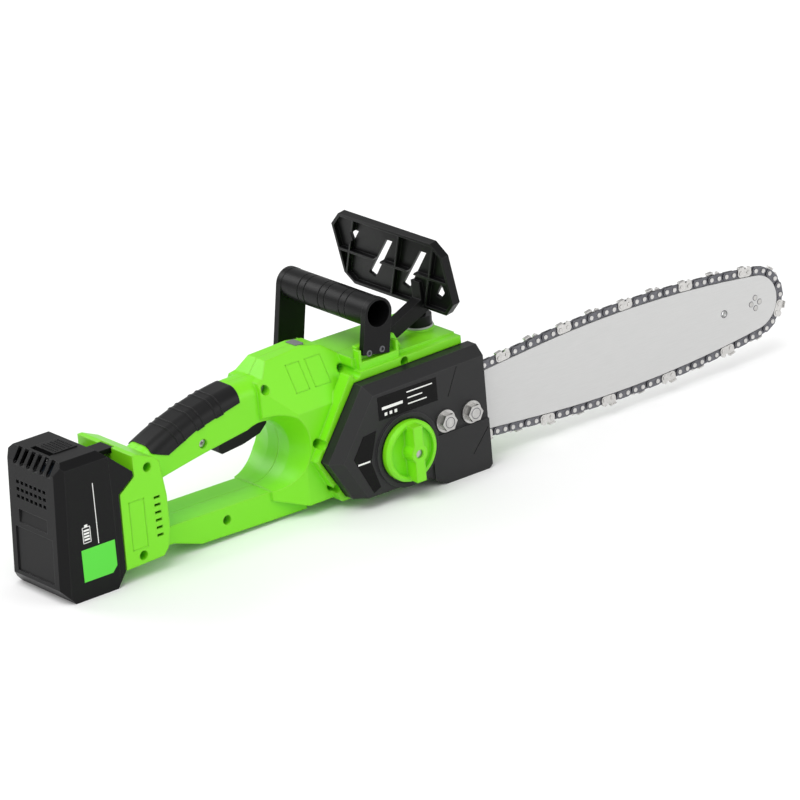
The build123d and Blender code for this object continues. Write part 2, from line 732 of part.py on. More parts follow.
# ---------------------------------------------------------------- bar clamp plate, studs, nuts, chain tensioner
plate_face = bar_y + bar_thickness / 2 + 0.1
window = (362.0, 392.0)
with BuildPart() as clamp_plate:
    with BuildSketch(side(-42.95)):
        with Locations((372, bar_height + 1)):
            Rectangle(52, 31)
            chamfer(vertices(), 5)
    extrude(amount=abs(plate_face) - 42.95)
    add(block(*window, -42, -48, 58.5, 68.4), mode=Mode.SUBTRACT)
    with BuildSketch(across(390)):
        with Locations((-44.9, tension_hole[1])):
            Circle(1.85)
    extrude(amount=10, mode=Mode.SUBTRACT)
    for station in stud_stations:
        add(rod(station, bar_height, -42, -48, 4), mode=Mode.SUBTRACT)
write(clamp_plate.part, "clamp_plate")
with BuildPart() as bar_studs:
    for station in stud_stations:
        add(rod(station, bar_height, -42.95, -66.5, 4))
write(bar_studs.part, "bar_studs")

nut_seat = cover_y - 0.1
with BuildPart() as bar_nuts:
    for station in stud_stations:
        with BuildSketch(side(nut_seat)):
            with Locations((station, bar_height)):
                Circle(9.5)
        extrude(amount=1.6)
        with BuildSketch(side(nut_seat - 1.6)):
            with Locations((station, bar_height)):
                RegularPolygon(7.5, 6)
        extrude(amount=5.4)
        with BuildSketch(side(nut_seat)):
            with Locations((station, bar_height)):
                Circle(4.05)
        extrude(amount=4.8, mode=Mode.SUBTRACT)
write(bar_nuts.part, "bar_nuts")

with BuildPart() as tension_block:
    add(block(370, 378, -43.3, -46.6, 59.2, 67.8))
    add(rod(*tension_hole, -46, -50.6, 2.9))
    with BuildSketch(across(369)):
        with Locations((-44.9, tension_hole[1])):
            Circle(1.55)
    extrude(amount=10, mode=Mode.SUBTRACT)
write(tension_block.part, "tension_block")
with BuildPart() as tension_screw:
    with BuildSketch(across(363)):
        with Locations((-44.9, tension_hole[1])):
            Circle(1.4)
    extrude(amount=36)
    with BuildSketch(across(398.6)):
        with Locations((-44.9, tension_hole[1])):
            Circle(1.8)
            Rectangle(0.7, 5, mode=Mode.SUBTRACT)
    extrude(amount=2)
write(tension_screw.part, "tension_screw")


# ---------------------------------------------------------------- sprocket cover
chamfer_depth = 8.0
with BuildPart() as cover_body:
    with BuildSketch(side(-43.2)):
        with BuildLine():
            Polyline(*cover_outline, close=True)
        make_face()
    extrude(amount=abs(cover_y) - 43.2)
    face_edges = edges().group_by(Axis.Y)[0]
    sloped = [
        edge for edge in face_edges
        if edge.center().Z > 100 or (edge.center().X - rear_x < 290 and edge.length > 40)
    ]
    chamfer(sloped, chamfer_depth)
mouth_of_cover = block(400, 410, -40, cover_y + 2.4, 13, 94)
with BuildPart() as cover_room:
    add(slab(cover_outline, -40, cover_y + chamfer_depth + 1.4, 2.4))
    add(slab(cover_outline, -40, cover_y + 2.4, chamfer_depth + 2.4))
with BuildPart() as sprocket_cover:
    add(cover_body.part)
    add(cover_room.part, mode=Mode.SUBTRACT)
    add(mouth_of_cover, mode=Mode.SUBTRACT)
    # the lower front panel stands proud, with a shadow groove above it
    with BuildSketch(side(cover_y)):
        with BuildLine():
            Polyline((346, 42.8), (404.5, 42.8), (404.5, 3), (401, 0), (358, 0), (346, 6), close=True)
        make_face()
        with Locations((knob_station, knob_height)):
            Circle(31, mode=Mode.SUBTRACT)
    extrude(amount=1.6)
    # the ring round the knob
    with BuildSketch(side(cover_y)):
        with Locations((knob_station, knob_height)):
            Circle(31)
            Circle(27.5, mode=Mode.SUBTRACT)
    extrude(amount=1.8)
    # pads that press the bar against its clamp plate
    with BuildSketch(side(bar_y - bar_thickness / 2 - 0.2)):
        with Locations((stud_middle, bar_height)):
            SlotCenterToCenter(stud_stations[1] - stud_stations[0], 17)
    extrude(amount=abs(cover_y) - abs(bar_y) - 3)
    for station in stud_stations:
        add(rod(station, bar_height, -48, -70, 4.3), mode=Mode.SUBTRACT)
    add(rod(knob_station, knob_height, -50, -70, 4.3), mode=Mode.SUBTRACT)
write(sprocket_cover.part, "sprocket_cover")

with BuildPart() as cover_labels:
    with BuildSketch(side(cover_y)):
        with Locations((325.8, 82)):
            Rectangle(59.5, 19.5)
        with BuildLine():
            Polyline((268, 47), (279, 63.5), (292, 65), (284.5, 40.5), (292, 17), (285, 14), close=True)
        make_face()
        with Locations((knob_station, knob_height)):
            Circle(32, mode=Mode.SUBTRACT)
    extrude(amount=0.35)
write(cover_labels.part, "cover_labels")

# ---------------------------------------------------------------- clamp knob
knob_seat = cover_y - 0.8
with BuildPart() as clamp_knob:
    with BuildSketch(side(knob_seat)):
        with Locations((knob_station, knob_height)):
            Circle(25.5)
    extrude(amount=7)
    chamfer(edges().filter_by(GeomType.CIRCLE).group_by(Axis.Y)[0], 2)
    with BuildSketch(side(knob_seat - 3)):
        with Locations((knob_station, knob_height)):
            Circle(21)
    extrude(amount=6, mode=Mode.SUBTRACT)
    with BuildSketch(side(knob_seat)):
        with Locations((knob_station, knob_height)):
            Rectangle(9, 47)
            Circle(7.5)
    extrude(amount=16)
    with BuildSketch(side(knob_seat - 16)):
        with Locations((knob_station, knob_height)):
            Circle(3.6)
    extrude(amount=-5, mode=Mode.SUBTRACT)
    with BuildSketch(side(knob_seat + 1)):
        with Locations((knob_station, knob_height)):
            Circle(2.05)
    extrude(amount=20, mode=Mode.SUBTRACT)
write(clamp_knob.part, "clamp_knob")
with BuildPart() as knob_screw:
    add(rod(knob_station, knob_height, -56.6, -75, 2))
    add(rod(knob_station, knob_height, knob_seat - 11.05, knob_seat - 14, 3.4))
write(knob_screw.part, "knob_screw")
with BuildPart() as knob_cam:
    with BuildSketch(side(-56.8)):
        with Locations((knob_station, knob_height)):
            Circle(8)
            Circle(2.05, mode=Mode.SUBTRACT)
        with Locations((knob_station + 9, knob_height)):
            Rectangle(6, 20, mode=Mode.SUBTRACT)
    extrude(amount=2.4)
write(knob_cam.part, "knob_cam")


# ---------------------------------------------------------------- drive train
def gear_face(teeth, addendum, dedendum, backlash):
    """Outline of a spur gear with 20 degree involute flanks."""
    pitch_radius = gear_module * teeth / 2
    base_radius = pitch_radius * cos(radians(20))
    tip, root = pitch_radius + addendum, pitch_radius - dedendum

    def involute(radius):
        slope = sqrt(max((radius / base_radius) ** 2 - 1, 0))
        return slope - atan2(slope, 1)

    half_tooth = pi / (2 * teeth) - backlash / (2 * pitch_radius)
    radii = [max(base_radius, root) + (tip - max(base_radius, root)) * step / 3 for step in range(4)]
    points = []
    for tooth in range(teeth):
        middle = 2 * pi * tooth / teeth
        flank = [(r, half_tooth + involute(pitch_radius) - involute(r)) for r in radii]
        flank = [(root, flank[0][1])] + flank if root < base_radius else flank
        for radius, angle in flank:
            points.append((radius * cos(middle - angle), radius * sin(middle - angle)))
        for radius, angle in reversed(flank):
            points.append((radius * cos(middle + angle), radius * sin(middle + angle)))
    with BuildSketch() as face:
        with BuildLine():
            Polyline(*points, close=True)
        make_face()
    return face.sketch


shaft = (sprocket_station, bar_height)
motor = (motor_station, motor_height)
with BuildPart() as drive_gear:
    with BuildSketch(side(-14)):
        with Locations(Location(shaft, 30 + 180 / gear_teeth)):
            add(gear_face(gear_teeth, 0.7, 1.25, 0.2))
        with Locations(shaft):
            Circle(4.05, mode=Mode.SUBTRACT)
            with PolarLocations(14, 6):
                Circle(4, mode=Mode.SUBTRACT)
    extrude(amount=9)
write(drive_gear.part, "drive_gear")
with BuildPart() as motor_pinion:
    with BuildSketch(side(-13)):
        with Locations(Location(motor, 30 + 180)):
            add(gear_face(pinion_teeth, 0.9, 1.2, 0.2))
        with Locations(motor):
            Circle(2.52, mode=Mode.SUBTRACT)
    extrude(amount=11)
write(motor_pinion.part, "motor_pinion")
with BuildPart() as output_shaft:
    add(rod(*shaft, -53.5, 6.5, 4))
    add(rod(*shaft, -24.2, -31.8, 5.5))
write(output_shaft.part, "output_shaft")


def bearing(place, y_from, y_to, outer, inner):
    """A ball bearing drawn as one ring."""
    with BuildPart() as ring:
        with BuildSketch(side(max(y_from, y_to))):
            with Locations(place):
                Circle(outer)
                Circle(inner, mode=Mode.SUBTRACT)
        extrude(amount=abs(y_from - y_to))
    return ring.part


write(bearing(shaft, -33.2, -40.1, 11, 4.06), "output_bearing")
with BuildPart() as drive_sprocket:
    with BuildSketch(side(bar_y + 3.2)):
        with Locations(shaft):
            Circle(9.8)
    extrude(amount=6.4)
    for face_y in (bar_y + 2.3, bar_y - 1.0):
        with BuildSketch(side(face_y)):
            with Locations(shaft):
                Circle(13.4)
                with PolarLocations(14.6, 7):
                    Circle(2.6, mode=Mode.SUBTRACT)
        extrude(amount=1.3)
    with BuildSketch(side(bar_y + 4)):
        with Locations(shaft):
            Circle(4.03)
    extrude(amount=8, mode=Mode.SUBTRACT)
write(drive_sprocket.part, "drive_sprocket")

with BuildPart() as gear_plate:
    with BuildSketch(side(7)):
        with Locations(((shaft[0] + motor[0]) / 2, (shaft[1] + motor[1]) / 2)):
            Rectangle(62, 50)
            chamfer(vertices(), 12)
        with Locations(shaft):
            Circle(4.08, mode=Mode.SUBTRACT)
        with Locations(motor):
            Circle(6.6, mode=Mode.SUBTRACT)
    extrude(amount=5)
write(gear_plate.part, "gear_plate")
with BuildPart() as motor_can:
    with BuildSketch(side(62)):
        with Locations(motor):
            Circle(motor_radius)
    extrude(amount=54.8)
    with BuildSketch(side(60)):
        with Locations(motor):
            Circle(motor_radius - 1.8)
    extrude(amount=50.5, mode=Mode.SUBTRACT)
    with BuildSketch(side(70)):
        with Locations(motor):
            Circle(2.56)
    extrude(amount=70, mode=Mode.SUBTRACT)
write(motor_can.part, "motor_can")
with BuildPart() as motor_stator:
    with BuildSketch(side(54)):
        with Locations(motor):
            Circle(motor_radius - 1.9)
            Circle(14.7, mode=Mode.SUBTRACT)
            with PolarLocations(16.4, 12):
                Circle(1.1, mode=Mode.SUBTRACT)
    extrude(amount=38)
write(motor_stator.part, "motor_stator")
with BuildPart() as motor_rotor:
    add(rod(*motor, 15, 55, 14))
    add(rod(*motor, -24.5, 65.7, 2.5))
write(motor_rotor.part, "motor_rotor")
with BuildPart() as cooling_fan:
    with BuildSketch(side(65.6)):
        with Locations(motor):
            Circle(9)
            Circle(2.53, mode=Mode.SUBTRACT)
    extrude(amount=2.5)
    with BuildSketch(side(65.6)):
        with Locations(motor):
            with PolarLocations(13, 9):
                Rectangle(10, 1.4)
    extrude(amount=2.5)
write(cooling_fan.part, "cooling_fan")


# ---------------------------------------------------------------- oiler
cap_place = (cap_station, cap_y)
oil_tank_raw = slab([(346, 74), (346, 106), (393, 106), (393, 74)], 14, -31)
with BuildPart() as oil_tank:
    add(oil_tank_raw)
    add(block(348, 391, 12, -29, 76, 104), mode=Mode.SUBTRACT)
    add(post(*cap_place, 105, 114.1, 9.3))
    add(post(*cap_place, 100, 120, 7.4), mode=Mode.SUBTRACT)
write(oil_tank.part, "oil_tank")
with BuildPart() as cap_seal:
    add(post(*cap_place, 114.25, 115.6, 12.4))
    add(post(*cap_place, 110, 120, 9.4), mode=Mode.SUBTRACT)
write(cap_seal.part, "cap_seal")
with BuildPart() as oil_cap:
    add(post(*cap_place, 115.7, 124.2, 11.6))
    add(post(*cap_place, 107, 116.7, 7.1))
    add(post(*cap_place, 106, 130, 4.2), mode=Mode.SUBTRACT)
    add(post(*cap_place, 117.5, 130, 7.3), mode=Mode.SUBTRACT)
write(oil_cap.part, "oil_cap")
with BuildPart() as oiler_plunger:
    add(post(*cap_place, 123.4, 125.4, 7.0))
    with BuildSketch(level(125.4)):
        with Locations(cap_place):
            Circle(7.0)
    extrude(amount=3.9)
    fillet(edges().group_by(Axis.Z)[-1], 3.6)
    add(post(*cap_place, 103, 124, 3.0))
write(oiler_plunger.part, "oiler_plunger")
with BuildPart() as plunger_spring:
    with BuildSketch(level(117.7)):
        with Locations(cap_place):
            Circle(5.4)
            Circle(3.6, mode=Mode.SUBTRACT)
    extrude(amount=5.5)
write(plunger_spring.part, "plunger_spring")


# ---------------------------------------------------------------- trigger, switch and lock-off button
with BuildPart() as trigger:
    with BuildSketch(side(9.2)):
        with BuildLine():
            Polyline(
                (176.5, 68), (179, 66), (200, 68.2), (217, 72.5), (224, 79), (225.5, 88), (223, 92.5),
                (218, 92.5), (212, 84.5), (184, 80), (176.5, 78), close=True,
            )
        make_face()
    extrude(amount=18.4)
    add(rod(*trigger_pivot, 10, -10, 1.56), mode=Mode.SUBTRACT)
write(trigger.part, "trigger")
with BuildPart() as switch_module:
    add(block(176, 204, -8.5, 8.5, 91.5, 104))
    add(post(190, 0, 91, 101.5, 2.1), mode=Mode.SUBTRACT)
write(switch_module.part, "switch_module")
with BuildPart() as switch_plunger:
    add(post(190, 0, 81.65, 95, 2.0))
write(switch_plunger.part, "switch_plunger")
with BuildPart() as trigger_spring:
    with BuildSketch(level(81.5)):
        with Locations((180.5, 0)):
            Circle(3)
            Circle(2.1, mode=Mode.SUBTRACT)
    extrude(amount=9.6)
write(trigger_spring.part, "trigger_spring")

button_station = 265.1
with BuildPart() as lock_off_button:
    add(block(button_station - 3.75, button_station + 3.75, -6.6, 6.6, 127.5, 133.4))
    add(block(button_station - 5.5, button_station + 5.5, -7.6, 7.6, 125.5, 127.5))
    add(post(button_station, 0, 119, 126, 2))
write(lock_off_button.part, "lock_off_button")
with BuildPart() as lock_off_switch:
    add(block(button_station - 8, button_station + 8, -7, 7, 108, 117))
    add(post(button_station, 0, 113, 118, 2.3), mode=Mode.SUBTRACT)
write(lock_off_switch.part, "lock_off_switch")
with BuildPart() as lock_off_spring:
    with BuildSketch(level(117.2)):
        with Locations((button_station, 0)):
            Circle(4.2)
            Circle(3.2, mode=Mode.SUBTRACT)
    extrude(amount=8.1)
write(lock_off_spring.part, "lock_off_spring")
write(block(86, 88, -28, 28, 26, 78), "controller_board")

# ---------------------------------------------------------------- terminal block on the battery rail
blade_offsets = (-5.5, 5.5)
with BuildPart() as terminal_block:
    add(block(54.3, 66, -8, 8, 24.2, 57.8))
write(terminal_block.part, "terminal_block")
with BuildPart() as terminal_blades:
    for offset_y in blade_offsets:
        add(block(48.2, 54.25, offset_y - 0.4, offset_y + 0.4, 30, 52))
write(terminal_blades.part, "terminal_blades")


# ---------------------------------------------------------------- battery pack
parting = 53.0
case_side = [
    (0, 12), (5.2, 106), (12, 115.5), (46, 115.5), (74, 91), (74, 87.1), (59.2, 76.2),
    (58.5, 11.9), (50, 0), (10, 0),
]
with BuildPart() as case_outside:
    with BuildSketch(side(battery_half)):
        with BuildLine():
            Polyline(*case_side, close=True)
        make_face()
    extrude(amount=2 * battery_half)
    rear_edges = edges().filter_by(lambda edge: edge.center().X - rear_x < 9).filter_by(Axis.Y, reverse=True)
    rear_edges = [edge for edge in rear_edges if edge.length > 60]
    chamfer(rear_edges, 6.5)
    top_edges = [edge for edge in edges().filter_by(Axis.X) if edge.center().Z > 115]
    chamfer(top_edges, 6)
with BuildPart() as case_room:
    with BuildSketch(side(battery_half - 2.2)):
        with BuildLine():
            Polyline(*case_side, close=True)
        make_face()
        offset(amount=-2.2, kind=Kind.INTERSECTION, mode=Mode.REPLACE)
    extrude(amount=2 * (battery_half - 2.2))
    low_edges = [edge for edge in edges() if edge.length > 60 and edge.center().X - rear_x < 9]
    chamfer([edge for edge in low_edges if abs(edge.center().Y - split_y) > 20], 4)
    high_edges = [edge for edge in edges().filter_by(Axis.X) if edge.center().Z > 112]
    chamfer(high_edges, 6)
thumb_slot = block(15.6, 42.4, -13.4, 13.4, 108, 118)
tongue_slot = block(52, 80, -8.4, 8.4, 98.6, 103.4)
vents = []
for row in range(3):
    for column in range(7):
        vents.append(block(-1, 8, -19.4 + 6 * column, -15.4 + 6 * column, 76 + 6 * row, 79 + 6 * row))
with BuildPart() as battery_case_rear:
    add(case_outside.part)
    add(case_room.part, mode=Mode.SUBTRACT)
    add(block(parting, 90, -50, 50, -5, 130), mode=Mode.SUBTRACT)
    add(vents, mode=Mode.SUBTRACT)
    add(thumb_slot, mode=Mode.SUBTRACT)
    # finger recess across the rear face, and a shallow panel below it
    add(slab([(-1, 56), (3.2, 56), (4.6, 66), (-1, 70)], 19, -19), mode=Mode.SUBTRACT)
    add(slab([(-1, 15), (1.3, 15), (3.3, 52), (-1, 52)], 25, -25), mode=Mode.SUBTRACT)
    for offset_y in blade_offsets:
        add(block(47.6, 54, offset_y - 1.1, offset_y + 1.1, -5, 14), mode=Mode.SUBTRACT)
    for column in range(6):
        add(slab([(-1, 101), (3.2, 101), (13, 111), (13, 119), (-1, 119)], -24.5 + 9 * column + 2.6, -24.5 + 9 * column - 2.6),
            mode=Mode.SUBTRACT)
write(battery_case_rear.part, "battery_case_rear")
rail_room = [
    block(53.2, 56.6, -20, 20, -5, 74),
    block(56, 60, -14.9, 14.9, -5, 74),
]
with BuildPart() as battery_case_front:
    add(case_outside.part)
    add(case_room.part, mode=Mode.SUBTRACT)
    add(block(50.6, 58.6, -37, 37, 4, 78))
    add(case_outside.part, mode=Mode.INTERSECT)
    add(block(-5, parting + 0.2, -50, 50, -5, 130), mode=Mode.SUBTRACT)
    add(rail_room, mode=Mode.SUBTRACT)
    add(tongue_slot, mode=Mode.SUBTRACT)
write(battery_case_front.part, "battery_case_front")
with BuildPart() as rail_plate:
    add(block(50.2, 52.6, -30, 30, 10, 76))
    for offset_y in blade_offsets:
        add(block(40, 60, offset_y - 1.1, offset_y + 1.1, -5, 58), mode=Mode.SUBTRACT)
write(rail_plate.part, "battery_contact_plate")

cell_radius, cell_length, cell_spacing = 9.1, 65.0, 18.6
with BuildPart() as battery_cells:
    with BuildSketch(side(cell_length / 2)):
        for column in (17.3, 35.9):
            for row in range(5):
                with Locations((column, 12.2 + cell_spacing * row)):
                    Circle(cell_radius)
    extrude(amount=cell_length)
write(battery_cells.part, "battery_cells")
write(block(45.6, 47.2, -30, 30, 8, 94), "battery_board")
with BuildPart() as release_button:
    add(block(20.2, 42, -13, 13, 111, 116.3))
    add(block(38, 42, -8, 8, 100, 112))
    add(block(38, 77.6, -8, 8, 99, 103))
write(release_button.part, "release_button")
with BuildPart() as release_spring:
    with BuildSketch(across(17)):
        with Locations((0, 106)):
            Circle(2.6)
            Circle(1.9, mode=Mode.SUBTRACT)
    extrude(amount=20.8)
write(release_spring.part, "release_spring")
with BuildPart() as battery_label:
    with BuildSketch(side(-battery_half)):
        with BuildLine():
            Polyline((19.5, 15), (46.5, 15), (51, 20), (51, 41), (51, 41.5), (19.5, 41.5), close=True)
        make_face()
    extrude(amount=0.3)
write(battery_label.part, "battery_label")
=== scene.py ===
import json
from math import asin, cos, pi, radians, sin, sqrt

import bpy
from mathutils import Matrix, Vector

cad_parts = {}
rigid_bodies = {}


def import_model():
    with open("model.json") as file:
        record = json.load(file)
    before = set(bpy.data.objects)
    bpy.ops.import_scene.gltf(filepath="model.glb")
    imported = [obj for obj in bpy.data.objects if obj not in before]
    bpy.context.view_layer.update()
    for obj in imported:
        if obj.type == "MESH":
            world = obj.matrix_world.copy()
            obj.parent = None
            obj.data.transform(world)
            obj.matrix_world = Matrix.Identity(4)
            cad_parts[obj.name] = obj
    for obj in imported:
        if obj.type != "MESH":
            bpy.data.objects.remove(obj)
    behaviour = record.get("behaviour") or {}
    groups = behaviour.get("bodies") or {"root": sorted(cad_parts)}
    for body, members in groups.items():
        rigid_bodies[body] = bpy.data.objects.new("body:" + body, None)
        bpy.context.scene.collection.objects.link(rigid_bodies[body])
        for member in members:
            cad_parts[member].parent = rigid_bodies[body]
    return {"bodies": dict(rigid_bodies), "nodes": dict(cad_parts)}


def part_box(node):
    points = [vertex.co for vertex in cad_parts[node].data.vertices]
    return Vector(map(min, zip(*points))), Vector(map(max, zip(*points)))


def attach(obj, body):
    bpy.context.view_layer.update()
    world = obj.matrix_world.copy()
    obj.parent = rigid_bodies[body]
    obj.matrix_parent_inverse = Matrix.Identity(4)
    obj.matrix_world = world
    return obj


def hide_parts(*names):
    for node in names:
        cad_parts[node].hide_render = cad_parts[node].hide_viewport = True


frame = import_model()
kept = {*frame["nodes"].values(), *frame["bodies"].values()}
for stray in [o for o in bpy.data.objects if o not in kept]:
    bpy.data.objects.remove(stray)
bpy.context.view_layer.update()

# ---------------------------------------------------------------- the studio
# A pale seamless floor under a soft sky and a broad sun, and a long lens that looks down on the saw's
# right side from behind. The saw leans a little in the picture.
azimuth, elevation, roll = radians(-36.4), radians(20.6), radians(5)
aim, distance = Vector((-0.0038, -0.0006, 0.0545)), 4.534
right = Vector((cos(azimuth), sin(azimuth), 0))
up = Vector((-sin(azimuth) * sin(elevation), cos(azimuth) * sin(elevation), cos(elevation)))
back = Vector((sin(azimuth) * cos(elevation), -cos(azimuth) * cos(elevation), sin(elevation)))
turned_right = right * cos(roll) - up * sin(roll)
turned_up = right * sin(roll) + up * cos(roll)

camera = bpy.data.objects.new("camera", bpy.data.cameras.new("camera"))
bpy.context.scene.collection.objects.link(camera)
camera.data.lens, camera.data.sensor_width = 252, 36
camera.data.clip_start, camera.data.clip_end = 0.1, 50
camera.matrix_world = Matrix.Translation(aim + back * distance) @ Matrix(
    (turned_right, turned_up, back)).transposed().to_4x4()
bpy.context.scene.camera = camera

sky = bpy.data.worlds.new("sky")
sky.use_nodes = True
sky.node_tree.nodes["Background"].inputs["Color"].default_value = (1, 1, 1, 1)
sky.node_tree.nodes["Background"].inputs["Strength"].default_value = 0.56
bpy.context.scene.world = sky
bpy.context.scene.view_settings.view_transform = "Standard"


def lamp(name, kind, place, energy, size):
    """A lamp that looks at the saw; size is a sun's angle in degrees or a panel's side in metres."""
    light = bpy.data.lights.new(name, kind)
    light.energy = energy
    if kind == "SUN":
        light.angle = radians(size)
    else:
        light.size = size
    holder = bpy.data.objects.new(name, light)
    bpy.context.scene.collection.objects.link(holder)
    holder.location = place
    holder.rotation_mode = "QUATERNION"
    holder.rotation_quaternion = (Vector((0, 0, 0.06)) - Vector(place)).to_track_quat("-Z", "Y")


lamp("key_sun", "SUN", (-1.6, -0.7, 3.0), 1.75, 50)
lamp("side_panel", "AREA", (1.2, -2.6, 1.0), 16, 1.6)
lamp("back_panel", "AREA", (-1.0, 2.4, 1.6), 22, 1.4)

floor_mesh = bpy.data.meshes.new("floor")
floor_reach = 12
floor_mesh.from_pydata([(floor_reach * x, floor_reach * y, 0) for x, y in ((-1, -1), (1, -1), (1, 1), (-1, 1))],
                       [], [(0, 1, 2, 3)])
floor = bpy.data.objects.new("floor", floor_mesh)
bpy.context.scene.collection.objects.link(floor)


# ---------------------------------------------------------------- battery pack
# A block of cells in a two-part case of black moulded nylon with a fine spark-eroded grain, screwed
# together from behind. It slides down a rail, and a sprung pad on its top lets it go.
class Wire:
    """A shader socket that takes part in Python arithmetic."""

    def __init__(self, tree, socket):
        self.tree, self.socket = tree, socket

    def _maths(self, operation, first, second):
        node = self.tree.nodes.new("ShaderNodeMath")
        node.operation = operation
        for place, value in zip(node.inputs, (first, second)):
            connect(self.tree, place, value)
        return Wire(self.tree, node.outputs[0])

    def __rsub__(self, other):
        return self._maths("SUBTRACT", other, self)

    def __mul__(self, other):
        return self._maths("MULTIPLY", self, other)

    def __gt__(self, other):
        return self._maths("GREATER_THAN", self, other)


def connect(tree, place, value):
    """Links a wire to a socket, or sets the socket to a plain value."""
    if isinstance(value, Wire):
        tree.links.new(value.socket, place)
    else:
        place.default_value = value


class Finish:
    """A material being mixed: its nodes and the surface shader that they feed."""

    def __init__(self, name, **surface):
        self.material = bpy.data.materials.new(name)
        self.material.use_nodes = True
        self.tree = self.material.node_tree
        self.shader = self.tree.nodes["Principled BSDF"]
        for word, value in surface.items():
            self.shader.inputs[word.replace("_", " ")].default_value = value
        self.place = self.node("ShaderNodeTexCoord", output="Object")

    def node(self, kind, settings=None, sockets=None, output=0):
        node = self.tree.nodes.new(kind)
        for word, value in (settings or {}).items():
            setattr(node, word, value)
        for word, value in (sockets or {}).items():
            connect(self.tree, node.inputs[word], value)
        return Wire(self.tree, node.outputs[output])

    def noise(self, scale, detail=2.0, stretch=None):
        place = self.place
        if stretch:
            place = self.node("ShaderNodeMapping", None, {"Vector": place, "Scale": stretch})
        return self.node("ShaderNodeTexNoise", None, {"Vector": place, "Scale": scale, "Detail": detail})

    def between(self, share, low, high):
        """A number that goes from low to high as share goes from 0 to 1."""
        return self.node("ShaderNodeMapRange", None, {"Value": share, 3: low, 4: high})

    def mixed(self, share, first, second):
        return self.node("ShaderNodeMix", {"data_type": "RGBA"}, {0: share, 6: first, 7: second}, output=2)

    def rounded(self, radius):
        """The surface's normal as if its edges had a small radius."""
        return self.node("ShaderNodeBevel", {"samples": 4}, {"Radius": radius})

    def edges(self, soft, gain=5.0):
        """Near 1 on the rounded edges and 0 on the faces between them."""
        face = self.node("ShaderNodeNewGeometry", output="Normal")
        along = self.node("ShaderNodeVectorMath", {"operation": "DOT_PRODUCT"}, {0: soft, 1: face},
                          output="Value")
        return self.node("ShaderNodeClamp", None, {"Value": (1 - along) * gain})

    def feed(self, socket, wire):
        connect(self.tree, self.shader.inputs[socket], wire)

    def relief(self, height, depth, soft=None):
        sockets = {"Height": height, "Distance": depth, "Strength": 1.0}
        if soft:
            sockets["Normal"] = soft
        self.feed("Normal", self.node("ShaderNodeBump", None, sockets))


def dress(finish, *nodes):
    """Gives CAD nodes a finish."""
    for name in nodes:
        frame["nodes"][name].material_slots[0].material = finish.material


def tone(red, green, blue):
    return (red, green, blue, 1)


def moulded(name, colour, highlight_tone, roughness, grain=0.00003, grain_scale=1500, radius=0.0008, **surface):
    """Moulded plastic: a fine grain, cloudy gloss, and a highlight painted paler along the edges."""
    finish = Finish(name, **surface)
    soft = finish.rounded(radius)
    clouds = finish.noise(24, 3)
    speckle = finish.noise(grain_scale, 1)
    # the paler tone along every edge is a painted highlight
    painted_edge_highlight = finish.edges(soft) * finish.between(clouds, 0.25, 1.0)
    plain = finish.mixed(clouds, colour, [c * 1.12 for c in colour])
    finish.feed("Base Color", finish.mixed(painted_edge_highlight, plain, highlight_tone))
    finish.feed("Roughness", finish.between(clouds, roughness - 0.05, roughness + 0.07))
    finish.relief(speckle, grain, soft)
    return finish


black_nylon = moulded("black_nylon", tone(0.0045, 0.0045, 0.0048), tone(0.05, 0.05, 0.052), 0.36,
                      Specular_IOR_Level=0.16)
dress(black_nylon, "battery_case_rear", "battery_case_front", "battery_contact_plate", "release_button")
label_green = moulded("label_green", tone(0.085, 0.66, 0.035), tone(0.2, 0.8, 0.1), 0.3, 0.000004, 700, 0.0002)
dress(label_green, "battery_label")

cell_wrap = Finish("cell_wrap", Coat_Weight=0.3)
cell_bands = cell_wrap.node("ShaderNodeTexWave", {"bands_direction": "Y"},
                            {"Vector": cell_wrap.place, "Scale": 6.0, "Distortion": 0.4})
# the wraps are coloured dark so that the vent slots over them look dark: painted shade
cell_wrap.feed("Base Color", cell_wrap.mixed(cell_bands > 0.9, tone(0.035, 0.05, 0.07), tone(0.12, 0.12, 0.12)))
cell_wrap.feed("Roughness", cell_wrap.between(cell_wrap.noise(60), 0.25, 0.4))
dress(cell_wrap, "battery_cells")

rear_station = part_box("battery_case_rear")[0].x
split_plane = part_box("housing_right")[1].y


def at(station, offset, height):
    """A point by its station from the rear, its offset left of the split plane and its height, in mm."""
    return Vector((rear_station + station / 1000, split_plane + offset / 1000, height / 1000))


def stick(tree, *nodes):
    """Joins a chain of geometry nodes by their first geometry sockets and returns the last output."""
    for first, second in zip(nodes, nodes[1:]):
        tree.links.new(first.outputs[0], second.inputs[0])
    return nodes[-1].outputs[0]


def node_group(name, **sizes):
    """A geometry node tree with one geometry socket each way and a named input for every size."""
    tree = bpy.data.node_groups.new(name, "GeometryNodeTree")
    tree.interface.new_socket("Geometry", in_out="INPUT", socket_type="NodeSocketGeometry")
    for word, value in sizes.items():
        kind = "NodeSocketInt" if isinstance(value, int) else "NodeSocketFloat"
        tree.interface.new_socket(word, in_out="INPUT", socket_type=kind).default_value = value
    tree.interface.new_socket("Geometry", in_out="OUTPUT", socket_type="NodeSocketGeometry")
    return tree, tree.nodes.new("NodeGroupInput"), tree.nodes.new("NodeGroupOutput")


def named_vector(tree, word):
    """A node that reads a vector which every point carries under a name."""
    reader = tree.nodes.new("GeometryNodeInputNamedAttribute")
    reader.data_type = "FLOAT_VECTOR"
    reader.inputs["Name"].default_value = word
    return reader.outputs[0]


def swept(tree, wire_size, path):
    """A round wire along a curve; returns the node that holds its mesh."""
    section_ring = tree.nodes.new("GeometryNodeCurvePrimitiveCircle")
    section_ring.inputs["Resolution"].default_value = 8
    mesh = tree.nodes.new("GeometryNodeCurveToMesh")
    tree.links.new(wire_size, section_ring.inputs["Radius"])
    tree.links.new(path, mesh.inputs["Curve"])
    tree.links.new(section_ring.outputs["Curve"], mesh.inputs["Profile Curve"])
    return mesh


